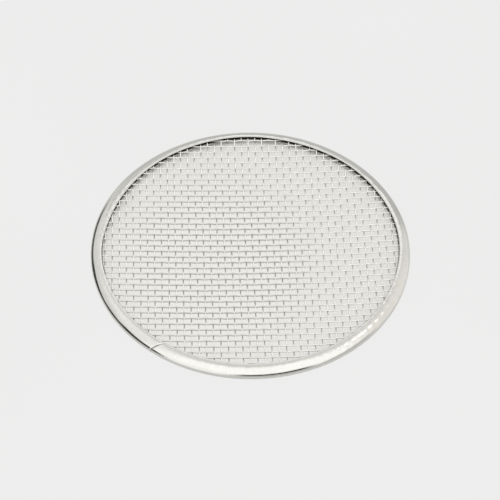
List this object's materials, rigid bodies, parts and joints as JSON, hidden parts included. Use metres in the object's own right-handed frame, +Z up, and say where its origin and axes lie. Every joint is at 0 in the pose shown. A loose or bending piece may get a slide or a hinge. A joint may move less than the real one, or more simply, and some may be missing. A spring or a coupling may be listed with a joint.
{
  "type": "mesh drain cover",
  "caption": "Round drain cover: a shallow dished, plain-woven wire mesh, clamped round its edge in a folded sheet-metal rim with a butt seam.",
  "frame": {"origin": "on the floor, under the centre of the round cover", "axes": "+Z up, away from the drain; +X along the weft of the mesh; +Y along its warp"},
  "size_m": [0.19, 0.19, 0.006],
  "materials": {
    "rim_sheet": "polished stainless steel strip",
    "mesh_wire": "bright drawn stainless wire"
  },
  "bodies": {
    "root": {"folded_rim": "rim_sheet", "woven_mesh": "mesh_wire"}
  },
  "joints": []
}
